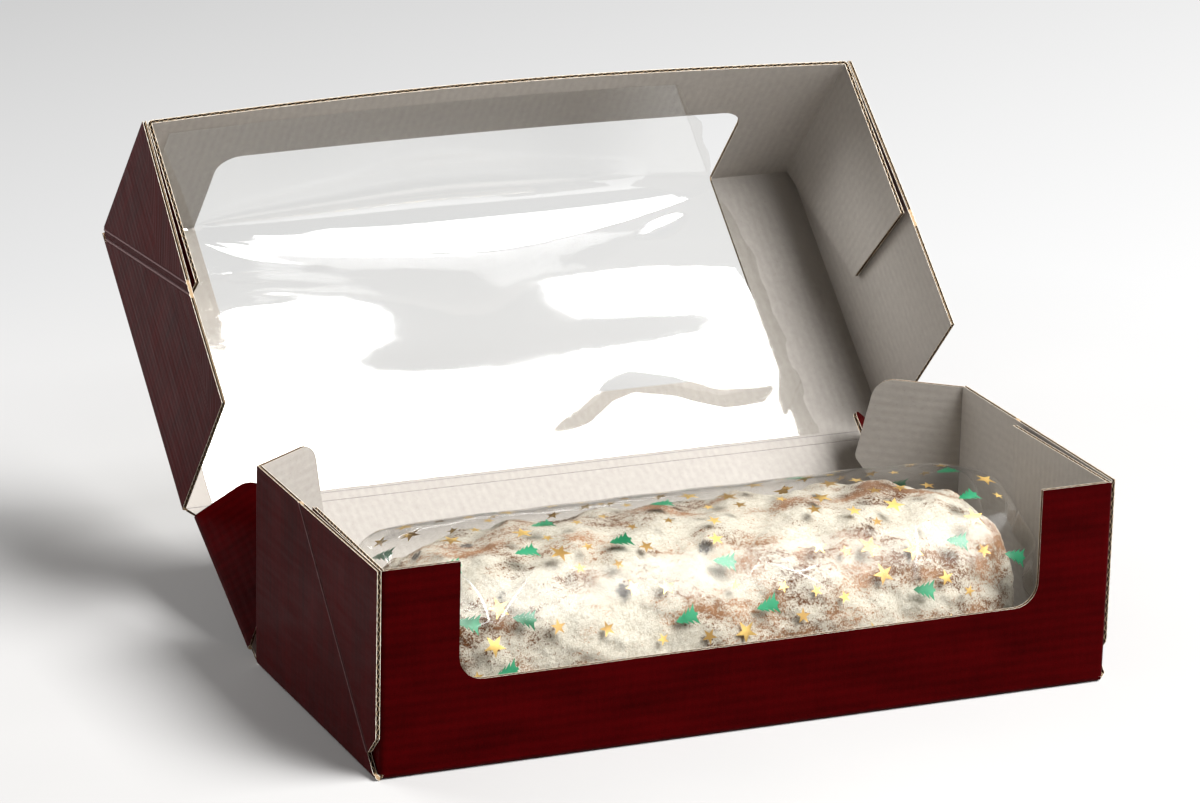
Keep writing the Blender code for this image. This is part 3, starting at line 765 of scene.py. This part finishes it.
for name, side in SIDES.items():
    sine, cosine = side * math.sin(SPLAY), side * math.cos(SPLAY)
    up = sine * X + math.cos(SPLAY) * Z
    outward = cosine * X - math.sin(SPLAY) * Z
    corner = side * LID_CORNER_HALF * X + LID_REACH * Y
    panel = lid_flat(corner, -Y, up, outward, flutes_up=False)
    shift = LID_SCORE_HALF * math.sqrt(2)
    wall = board(
        panel,
        [FOLD_RADIUS, LID_WALL],
        lambda a: (np.minimum(a + shift, LID_REACH - SETBACK), LID_REACH - SETBACK),
    )
    gusset_along, gusset_outward = sine * X - math.cos(SPLAY) * Y, cosine * X + math.sin(SPLAY) * Y
    gusset_panel = lid_flat(corner, gusset_along, Z, gusset_outward, flutes_up=False)
    gusset = board(gusset_panel, [shift, LID_WALL], lambda a: (0, a - shift))

    def double_crease(a, b, depth, panel=panel, gusset_panel=gusset_panel):
        """Points of the diagonal strip, which turns from the gusset's plane to the wall's."""
        share = np.clip(0.5 + a / LID_SCORE_HALF / 2, 0, 1)[..., None]
        height, length = (b - a) / math.sqrt(2), (b + a) / math.sqrt(2)
        return share * panel(height, length, depth) + (1 - share) * gusset_panel(height, length, depth)

    ridges = score(double_crease, LID_SCORE_HALF + 0.4, LID_WALL, DOUBLE_SCORE, LID_SCORE_HALF)
    end = add_piece(
        "lid_end_" + name,
        wall + gusset + change_finish(ridges, PRINT, WORN_WITH_HIGHLIGHT),
        ["lid_end_wall_" + name, "lid_end_gusset_" + name],
        finishes=[*BOARD_FINISHES, worn_double_with_highlight],
    )
    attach(end, "lid")

# The window film
# One sheet of clear film glued inside the lid. It bends across the front crease without being
# creased itself, so it cuts the corner in the middle, and what isn't glued is wavy.
FILM = 0.2
FILM_OFF = 0.3
FILM_LEFT = -132
FILM_MARGIN = 1
FILM_UP = 66
FILM_SLACK_UP = 44  # above this it lies flat, clear of the tray's front when the lid is shut
BEND_LEAST, BEND_MOST = 1.0, 42.0
BEND_DEPTH_SHARE, BEND_HEIGHT_SHARE = 0.78, 0.438  # what a bend takes up, by its own length
FREE_HALF = 109.5
# The film's right edge: across the lid, by its share of the run from the hinge.
RIGHT_EDGE_RUN = (0, 0.45, 0.56, 0.64, 0.7, 0.76, 0.86, 0.93, 1)
RIGHT_EDGE_AT = (114, 113.5, 110, 106.5, 104, 98, 90, 80, 74)
# The film's waves, each as across, depth, half width, half depth and steepness.
FILM_WAVES = (
    (-80, 73, 40, 11, 0.045),
    (72, 75, 46, 8, 0.05),
    (-6, 71, 26, 17, -0.055),
    (-30, 54, 22, 5, -0.04),
    (40, 56, 36, 4.5, -0.045),
    (-118, 100, 12, 14, 0.05),
)
# A wave near the hinge, on the right: its depth across the lid, half width and steepness.
LOW_WAVE_ACROSS = (-10, 5, 22, 36, 46, 62, 79, 96, 107, 114)
LOW_WAVE_DEPTH = (12, 14, 20, 30, 33, 29, 21, 21, 27, 33)
LOW_WAVE_HALF, LOW_WAVE_STEEP = 4.2, -0.06
# Ripples at the left end of the bend: across, depth, half width, half depth and steepness.
RIPPLES = (-90, 92, 22, 8, 0.05)
FILM_COLUMNS, FILM_ROWS = 170, 200
FILM_SHARP = 60  # degrees


def clear_film(name, haze_share, roughness, crease_share=0.0):
    """Clear film, whose faces mirror the lamps. The share that is mirrored rises with the fifth
    power of the view's slant, and along creases in the film."""
    m = Finish(name)
    haze = m.noise(24.0, 3.0)
    fine = m.noise(210.0, 2.0)
    to_edge = {"feature": "DISTANCE_TO_EDGE"}
    facets = m.wire("TexVoronoi", "Distance", to_edge, Vector=m.place, Scale=36.0)
    creased = m.times(m.remap(facets, 0, 0.013, 1, 0), m.remap(haze, 0.46, 0.62, 0, 1))
    creased = m.times(creased, m.remap(m.across(), 0.09, 0.108, 0.6, 6))
    dull = m.remap(haze, 0.3, 0.7, roughness, roughness * 1.6)
    dull = m.add(dull, m.times(creased, 2 * crease_share))
    m.shade((1, 1, 1, 1), dull, fine, 0.012, Metallic=1.0)
    see_through = m.wire("BsdfTransparent", Color=(0.985, 0.985, 0.98, 1))
    slant = m.wire("LayerWeight", "Facing", Blend=0.5)
    share = m.math("POWER", slant, 5.0)
    share = m.add(m.times(share, 0.94), haze_share)
    share = m.add(share, m.times(creased, crease_share))
    mixed = m.wire("MixShader", _0=share, _1=see_through, _2=m.shader.outputs[0])
    m.connect(m.tree.nodes["Material Output"], {"Surface": mixed})
    return m.material


def swell(x, depth, at, deep, wide, long, steep):
    """The slope of one of the film's waves."""
    return steep * np.exp(-(((x - at) / wide) ** 2) - ((depth - deep) / long) ** 2)


def film_surface(x, s, off):
    """The film at x across and s along its path, round the bend and up the front wall. The
    path is added up from its angle, which rises with the square of the run in the bend, and
    the waves from their slopes."""
    middle = np.clip(1 - (x / (FREE_HALF - 1)) ** 2, 0, 1)
    bend = BEND_LEAST + (BEND_MOST - BEND_LEAST) * middle**0.5
    flat_run = LID_DEPTH - FILM_MARGIN - FILM_OFF - BEND_DEPTH_SHARE * bend
    run = s * (flat_run + bend + FILM_UP - BEND_HEIGHT_SHARE * bend)
    angle = math.pi / 2 * np.clip((run - flat_run) / bend, 0, 1) ** 2
    step = np.diff(run, axis=1, prepend=0)
    depth = np.cumsum(np.cos(angle) * step, axis=1)
    depth = FILM_MARGIN + depth * (LID_DEPTH - FILM_MARGIN - FILM_OFF) / depth[:, -1:]
    height = np.cumsum(np.sin(angle) * step, axis=1)
    height = FILM_OFF + height * (FILM_UP - FILM_OFF) / height[:, -1:]
    slope = sum(swell(x, depth, *wave) for wave in FILM_WAVES)
    low_wave = np.interp(x, LOW_WAVE_ACROSS, LOW_WAVE_DEPTH)
    low_steep = LOW_WAVE_STEEP * np.clip((x + 8) / 40, 0, 1)
    slope = slope + low_steep * np.exp(-(((depth - low_wave) / LOW_WAVE_HALF) ** 2))
    slope = slope + swell(x, depth, *RIPPLES) * np.sin(depth / 1.3 + x / 9)
    slope = slope + 0.012 * np.sin(x / 23 + depth / 4 + height / 7) * np.clip((height - 8) / 20, 0, 1)
    wave = np.cumsum(slope * np.gradient(run, axis=1), axis=1)
    free = np.clip(1 - (x / FREE_HALF) ** 8, 0, 1) * np.clip((FILM_SLACK_UP - height) / 16, 0, 1)
    bow = bow_at(x, height) * np.sin(angle) ** 2
    shift = off + wave * free
    return np.stack([x, depth - np.sin(angle) * shift + bow, height + np.cos(angle) * shift], -1)


columns, rows = np.meshgrid(np.linspace(0, 1, FILM_COLUMNS), np.linspace(0, 1, FILM_ROWS), indexing="ij")
tears = 0.5 * np.sin(rows * 61) + 0.5 * np.sign(np.sin(rows * 47 + 2)) * (rows < 0.35)
right_edge = np.interp(rows, RIGHT_EDGE_RUN, RIGHT_EDGE_AT) + tears
film_x = FILM_LEFT + (right_edge - FILM_LEFT) * columns
film_sides = [in_lid(film_surface(film_x, rows, off)) for off in (0, FILM)]
film = add_piece(
    "window_film",
    [slab(*film_sides, (0, 0, 0))],
    ["window_film_top", "window_film_front"],
    [clear_film("window_film", 0.065, 0.035)],
    FILM_SHARP,
)
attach(film, "lid")

# The stollen
# A baked loaf of heavy fruit dough, buttered and covered with icing sugar. The sugar lies thick
# in the hollows, and the brown crumb shows through on the lumps.
STOLLEN_AT = np.array((0.75, -10.5, 1.8))
LOAF_HALF, LOAF_HALF_WIDTH, LOAF_HEIGHT = 116.75, 46, 61
CREST_SHIFT = 4
SECTION_POWER = 2.7
LOAF_PLAN_POWER = 4.5
LUMP_DEPTH, LUMP_LENGTH, LUMP_GIRTH, LESSER_LUMPS = 3, 46, 58, 0.62
GRIT = ((0.22, 9, 20), (0.1, 4.2, 30), (0.07, 2.1, 40))  # height, size and count of its waves
GRIT_SUNK = 0.3
CRUST_RINGS, CRUST_COLUMNS = 380, 190
DOME_ENDS = 0.985  # where the rings stop, short of the tips
dice = np.random.default_rng(12)


def waves(points, size, count):
    """Soft lumps: a sum of sine waves in scattered directions, each about a size long."""
    directions = dice.normal(size=(count, 3))
    directions /= np.linalg.norm(directions, axis=1)[:, None]
    lengths = size * dice.uniform(0.7, 1.4, count)
    phases = dice.uniform(0, 2 * math.pi, count)
    total = np.zeros(points.shape[:-1])
    for direction, length, phase in zip(directions, lengths, phases):
        total += np.sin(points @ direction * 2 * math.pi / length + phase)
    return total * math.sqrt(2 / count)


def dome(along, turn, half_length, half_width, height, plan_power):
    """A loaf-shaped dome: along runs from -1 to 1 between its ends and turn from 0 to 1 over
    its section. Plan and section are superellipses, and the crest is shifted back."""
    place = np.sin(along * math.pi / 2)
    share = (1 - np.abs(place) ** plan_power) ** (1 / plan_power)
    angle = turn * math.pi
    out = np.sign(np.cos(angle)) * np.abs(np.cos(angle)) ** (2 / SECTION_POWER)
    rise = np.abs(np.sin(angle)) ** (2 / SECTION_POWER) * np.sqrt(share)
    return np.stack([half_length * place, CREST_SHIFT * rise - half_width * share * out, height * rise], -1)


def dome_grid(rings, turns):
    """The along and the turn of every point of a dome."""
    return np.meshgrid(np.linspace(-DOME_ENDS, DOME_ENDS, rings), turns, indexing="ij")


def outward_normals(points):
    """The unit normals of a grid of points, by the cross product of its two directions."""
    normals = np.cross(np.gradient(points, axis=0), np.gradient(points, axis=1))
    size = np.linalg.norm(normals, axis=-1, keepdims=True)
    return -normals / np.maximum(size, 1e-9)


def sugared_crumb():
    """Icing sugar over brown crust, in diagonal drifts, with raisins showing grey through it."""
    m = Finish("sugared_crumb")
    turned = m.wire("Mapping", Vector=m.place, Rotation=(0.3, 0.7, 0.5), Scale=(24, 62, 52))
    drifts = m.noise(1.0, 6.0, 0.66, turned)
    crumbs = m.noise(800.0, 5.0, 0.75)
    fine = m.noise(1700.0, 3.0, 0.7)
    tints = m.noise(38.0, 2.0)
    raisins = m.wire("TexVoronoi", "Distance", Vector=m.place, Scale=46.0)
    bare = m.add(m.times(drifts, 2.2), m.times(crumbs, 1.4))
    bare = m.add(bare, fine)
    bare = m.remap(bare, 2.26, 2.54, 0, 1)
    sugar = m.tint(crumbs, 0.35, 0.6, (0.43, 0.38, 0.3), (0.64, 0.61, 0.53))
    crust = m.tint(tints, 0.4, 0.6, (0.11, 0.042, 0.014), (0.33, 0.18, 0.1))
    loaf_colour = m.mix(bare, sugar, crust)
    frayed = m.math("SUBTRACT", raisins, m.times(crumbs, 0.35))
    fruit = m.times(m.remap(frayed, -0.06, 0.0, 1, 0), m.remap(tints, 0.5, 0.55, 0, 0.8))
    loaf_colour = m.mix(fruit, loaf_colour, (0.06, 0.06, 0.064, 1))
    height = m.add(crumbs, m.times(fine, 0.4))
    return m.shade(loaf_colour, 0.92, height, 0.5, Specular_IOR_Level=0.2)


along, turn = dome_grid(CRUST_RINGS, np.linspace(0, 1, CRUST_COLUMNS))
crust = dome(along, turn, LOAF_HALF, LOAF_HALF_WIDTH, LOAF_HEIGHT, LOAF_PLAN_POWER)
lump_run = 2 * math.pi * crust[..., 0] / LUMP_LENGTH
lump_climb = math.pi**2 * (LOAF_HALF_WIDTH + LOAF_HEIGHT) * turn / LUMP_GIRTH
lumps = np.sin(lump_run + lump_climb) + np.sin((lump_run - lump_climb) / LESSER_LUMPS + 1)
crust[..., 1:] *= (1 - LUMP_DEPTH * (2 - lumps) / 4 / LOAF_HALF_WIDTH)[..., None]
grit = sum(height * waves(crust, size, count) for height, size, count in GRIT) - GRIT_SUNK
seat = np.clip(crust[..., 2] / 6, 0, 1)
crust = crust + outward_normals(crust) * (grit * seat)[..., None]
crust[:, [0, -1], 2] = 0
index = np.arange(CRUST_RINGS * CRUST_COLUMNS).reshape(CRUST_RINGS, CRUST_COLUMNS)
following = np.roll(index, -1, axis=1)
faces = np.stack([index[:-1], index[1:], following[1:], following[:-1]], -1).reshape(-1, 4).tolist()
tips = crust[[0, -1]].mean(1) * [1, 1, 0.6]
loaf_points = np.concatenate([crust.reshape(-1, 3), tips]) + STOLLEN_AT
for row, tip in ((0, index.size), (-1, index.size + 1)):
    faces += np.stack([index[row], following[row], np.full(CRUST_COLUMNS, tip)], -1).tolist()
loaf_mesh = bpy.data.meshes.new("sugared_loaf")
loaf_mesh.from_pydata((loaf_points * MM).tolist(), [], faces)
body = bmesh.new()
body.from_mesh(loaf_mesh)
bmesh.ops.recalc_face_normals(body, faces=body.faces)
body.to_mesh(loaf_mesh)
body.free()
loaf_mesh.materials.append(sugared_crumb())
loaf_mesh.shade_smooth()
loaf = add_object("sugared_loaf", loaf_mesh)
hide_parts("stollen_loaf")
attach(loaf, "stollen")

# The stollen's wrap
# Clear cellophane drawn round the loaf, printed with gold stars and green fir trees. It stands
# off the crest, and its ends are folded in.
WRAP_HALF, WRAP_HALF_WIDTH, WRAP_HEIGHT = 120.75, 47, 64.6
WRAP_PLAN_POWER = 9
WRAP_FILM = 0.06
WRAP_ENDS_FROM, WRAP_ENDS_RUN = 93, 26
WRAP_RINGS, WRAP_COLUMNS = 300, 140
LOOKUP_RINGS, LOOKUP_COLUMNS = 460, 300


def wrap_point(along, turn, off=0.0):
    """The wrap at along and turn: a dome that is drawn into flat folds towards its ends."""
    points = dome(along, turn, WRAP_HALF - 1, WRAP_HALF_WIDTH - 0.7, WRAP_HEIGHT - 0.6, WRAP_PLAN_POWER)
    length = points[..., 0]
    end = np.clip((np.abs(length) - WRAP_ENDS_FROM) / WRAP_ENDS_RUN, 0, 1)
    tug = 0.5 * np.sin(turn * 34 + 2.2 * np.sin(length / 9)) + 0.35 * np.sin(length / 4.6 + turn * 15)
    tug = tug + 0.5 * np.sin(length / 13 + turn * 9) * np.sin(turn * 21 + 1)
    folds = 1.2 * np.abs((turn * 4.3 + length / 300) % 1 - 0.5)
    folds = folds + 0.8 * np.abs((turn * 7.1 - length / 28) % 1 - 0.5) - 0.8
    crinkle = (0.2 + 0.45 * end) * tug + 3.2 * end**2 * folds - 0.3
    fade = np.clip(points[..., 2] / 8, 0, 1)
    return points + outward_normals(points) * (crinkle * fade + off)[..., None] + STOLLEN_AT


wrap_grid = dome_grid(WRAP_RINGS, np.linspace(0, 1, WRAP_COLUMNS))
wrap_sides = [wrap_point(*wrap_grid, off) for off in (0.0, WRAP_FILM)]
wrap = add_piece(
    "stollen_wrap_film",
    [slab(*wrap_sides, (0, 0, 0))],
    ["stollen_wrap"],
    [clear_film("clear_wrap", 0.004, 0.1, 0.06)],
    FILM_SHARP,
)
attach(wrap, "stollen")


def print_ink(name, dark, bright, metallic):
    """Printed ink on the wrap."""
    m = Finish(name)
    patchy = m.noise(260.0, 3.0)
    turned = m.noise(70.0, 1.0)
    shade = m.add(turned, m.times(patchy, 0.3))
    colour = m.mix(m.remap(shade, 0.56, 0.74, 0, 1), dark, bright)
    return m.shade(colour, 0.42, turned, 3.0, Metallic=metallic)


STAR_SIZES = (2.4, 3.1, 4.3)
TREE_SIZE = 4.3
TREES, TREE_SPACING, STARS, STAR_SPACING = 32, 19, 150, 9
PRINT_LOW, PRINT_HIGH = (-112, 0.08), (112, 0.92)  # along the wrap, and the share of its girth
PRINT_OFF = 0.05


def star_shape():
    """A five-pointed star of radius 1 as rings about its middle, each closed."""
    angles = np.arange(11) * math.pi / 5
    radii = np.where(np.arange(11) % 2 == 0, 1, 0.37)
    outline = np.stack([radii * np.cos(angles), radii * np.sin(angles)], -1)
    return np.array((0.02, 0.35, 0.68, 1.0))[:, None, None] * outline


def tree_shape():
    """A fir tree of height 2 along x, as rows across it. Its boughs hang towards the trunk."""
    rows = [(1, 0.02, 0)]
    for tier in range(4):
        start, wide = 1 - 0.45 * tier, 0.42 + 0.17 * tier
        rows += [(start - 0.4, wide, 0.2), (start - 0.44, 0.42 * wide, 0)]
    rows += [(-0.85, 0.13, 0), (-1, 0.13, 0)]
    at, half, hang = np.array(rows).T[:, :, None]
    across = np.linspace(-1, 1, 9)
    return np.stack([at - hang * np.abs(across) ** 1.5, half * across], -1)


section_turns = np.linspace(0, 1, 600)
section = dome(0 * section_turns, section_turns, WRAP_HALF, WRAP_HALF_WIDTH, WRAP_HEIGHT, WRAP_PLAN_POWER)
section_run = np.cumsum(np.linalg.norm(np.diff(section, axis=0, prepend=section[:1]), axis=1))
WRAP_GIRTH = section_run[-1]
lookup_turn = np.interp(np.linspace(0, 1, LOOKUP_COLUMNS), section_run / WRAP_GIRTH, section_turns)
lookup_points = wrap_point(*dome_grid(LOOKUP_RINGS, lookup_turn), WRAP_FILM + PRINT_OFF)


def wrap_lookup(along, share):
    """The wrap's outside at any along and share of its girth, read from a fine grid."""
    column = (along + DOME_ENDS) / (2 * DOME_ENDS) * (LOOKUP_RINGS - 1)
    column = np.clip(column, 0, LOOKUP_RINGS - 1.001)
    row = np.clip(share * (LOOKUP_COLUMNS - 1), 0, LOOKUP_COLUMNS - 1.001)
    i, j = column.astype(int), row.astype(int)
    p, q = (column - i)[..., None], (row - j)[..., None]
    near = lookup_points[i, j] * (1 - q) + lookup_points[i, j + 1] * q
    far = lookup_points[i + 1, j] * (1 - q) + lookup_points[i + 1, j + 1] * q
    return near * (1 - p) + far * p


def printed(shape, places, angles, sizes):
    """Copies of a shape, sized, turned and laid on the wrap's surface."""
    cosine, sine = np.cos(angles)[:, None, None], np.sin(angles)[:, None, None]
    x = sizes[:, None, None] * (shape[..., 0] * cosine - shape[..., 1] * sine)
    y = sizes[:, None, None] * (shape[..., 0] * sine + shape[..., 1] * cosine)
    along = np.arcsin(np.clip((places[:, 0, None, None] + x) / WRAP_HALF, -1, 1)) / (math.pi / 2)
    points = wrap_lookup(along, places[:, 1, None, None] + y / WRAP_GIRTH)
    index = np.arange(points[..., 0].size).reshape(points.shape[:-1])
    faces = np.stack([index[:, :-1, :-1], index[:, 1:, :-1], index[:, 1:, 1:], index[:, :-1, 1:]], -1)
    return points.reshape(-1, 3), faces.reshape(-1, 4)


def scatter(count, spacing, taken):
    """Places on the wrap that keep their spacing from each other and from those taken."""
    found = []
    for x, share in dice.uniform(PRINT_LOW, PRINT_HIGH, (count * 40, 2)):
        here = np.array((x, share * WRAP_GIRTH))
        if all(np.linalg.norm(here - other) > spacing for other in [*taken, *found]):
            found.append(here)
        if len(found) == count:
            break
    return found


trees = scatter(TREES, TREE_SPACING, [])
stars = np.array(scatter(STARS, STAR_SPACING, trees)) / [1, WRAP_GIRTH]
trees = np.array(trees) / [1, WRAP_GIRTH]
star_sizes = dice.choice(STAR_SIZES, len(stars), p=(0.45, 0.35, 0.2))
tree_turns = math.pi + dice.uniform(-0.3, 0.3, len(trees))
tree_print = printed(tree_shape(), trees, tree_turns, np.full(len(trees), TREE_SIZE))
star_print = printed(star_shape(), stars, dice.uniform(0, 2 * math.pi, len(stars)), star_sizes)
gold = print_ink("gold_ink", (0.4, 0.24, 0.07, 1), (0.9, 0.62, 0.2, 1), 0.45)
green = print_ink("green_ink", (0.0, 0.13, 0.05, 1), (0.03, 0.27, 0.13, 1), 0.0)
for name, (points, faces), ink in (("gold_stars", star_print, gold), ("green_firs", tree_print, green)):
    shell = (points, faces, np.zeros(len(faces), int), points)
    ornament = add_piece(name, [shell], (), [ink], FILM_SHARP)
    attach(ornament, "stollen")

# The table and the light
# A pale table that fades to white, one large soft lamp high at the front right, which the film
# mirrors, a weaker one beyond it that lights the loaf, and a weak one behind the left end.
CAMERA_AT = (-742.678, -1613.222, 670.982)
YAW, PITCH, ROLL = 0.41402, 0.31096, 0.02348
FOCAL = 5309.45
IMAGE_WIDTH = 1200
SENSOR = 36.0


def set_pose(thing, right, above, back, place):
    """Places a camera or a lamp, which looks away from back, in metres."""
    pose = np.eye(4)
    pose[:3] = np.stack([right, above, back, place], -1)
    thing.matrix_world = mathutils.Matrix(pose.tolist())


level = np.array((math.cos(YAW), -math.sin(YAW), 0))
ahead = np.array((math.sin(YAW), math.cos(YAW), 0))
forward = math.cos(PITCH) * ahead - math.sin(PITCH) * Z
upright = np.cross(level, forward)
right = math.cos(ROLL) * level + math.sin(ROLL) * upright
above = -math.sin(ROLL) * level + math.cos(ROLL) * upright
camera_data = bpy.data.cameras.new("camera")
camera_data.sensor_width = SENSOR
camera_data.lens = FOCAL / IMAGE_WIDTH * SENSOR
camera_data.clip_end = 20
camera = add_object("camera", camera_data)
set_pose(camera, right, above, -forward, np.array(CAMERA_AT) * MM)
bpy.context.scene.camera = camera

GLOW_AT_BOX = 1.05
GLOW_SLOPE = (0.24, -0.43, 0)  # for each metre to the right and back
TABLE_HALF, TABLE_DROP = 4, 0.0002  # in metres


def table_top():
    """A matt pale table. Away from the box it glows for the camera alone, as a lit backdrop."""
    m = Finish("table_top")
    grain = m.noise(6.0, 2.0)
    paper = m.tint(grain, 0.3, 0.7, (0.475, 0.47, 0.465), (0.5, 0.495, 0.49))
    seen = m.wire("LightPath", "Is Camera Ray")
    away = m.wire("VectorMath", "Value", {"operation": "LENGTH"}, _0=m.place)
    share = m.times(m.remap(away, 0.27, 0.55, 0, 1), seen)
    slope = m.wire("VectorMath", "Value", {"operation": "DOT_PRODUCT"}, _0=m.place, _1=GLOW_SLOPE)
    glow = m.math("MINIMUM", m.add(slope, GLOW_AT_BOX), 1.0)
    paper = m.mix(share, paper, (0, 0, 0, 1))
    m.connect(m.shader, {"Base Color": paper, "Roughness": 0.6, "Specular IOR Level": 0.2})
    m.connect(m.shader, {"Emission Color": (1, 1, 1, 1), "Emission Strength": m.times(glow, share)})
    return m.material


table_mesh = bpy.data.meshes.new("table")
signs = ((-1, -1), (1, -1), (1, 1), (-1, 1))
table_corners = [(x * TABLE_HALF, y * TABLE_HALF, -TABLE_DROP) for x, y in signs]
table_mesh.from_pydata(table_corners, [], [(0, 1, 2, 3)])
table_mesh.materials.append(table_top())
table = add_object("table", table_mesh)

world = bpy.data.worlds.new("studio")
bpy.context.scene.world = world
world.use_nodes = True
background = world.node_tree.nodes["Background"]
background.inputs["Color"].default_value = (1, 0.95, 0.89, 1)
background.inputs["Strength"].default_value = 0.11


def add_lamp(name, place, target, size, power):
    """A soft square lamp at a place in metres, turned to its target."""
    data = bpy.data.lights.new(name, "AREA")
    data.shape = "RECTANGLE"
    data.size, data.size_y = size
    data.energy = power
    way = np.array(target, float) - np.array(place, float)
    way /= np.linalg.norm(way)
    side = np.cross(way, Z)
    side /= np.linalg.norm(side)
    set_pose(add_object(name, data), side, np.cross(side, way), -way, place)


add_lamp("key", (1.03, -1.2, 1.9), (1.03, -1.19, 0), (1.4, 2.08), 155)
add_lamp("front", (1.3, -1.96, 2.2), (0, 0, 0.05), (1.4, 1.8), 38)
add_lamp("left_fill", (-0.8, 1.1, 0.5), (-0.15, 0, 0.05), (0.9, 0.8), 16)

bpy.context.scene.view_settings.view_transform = "Standard"
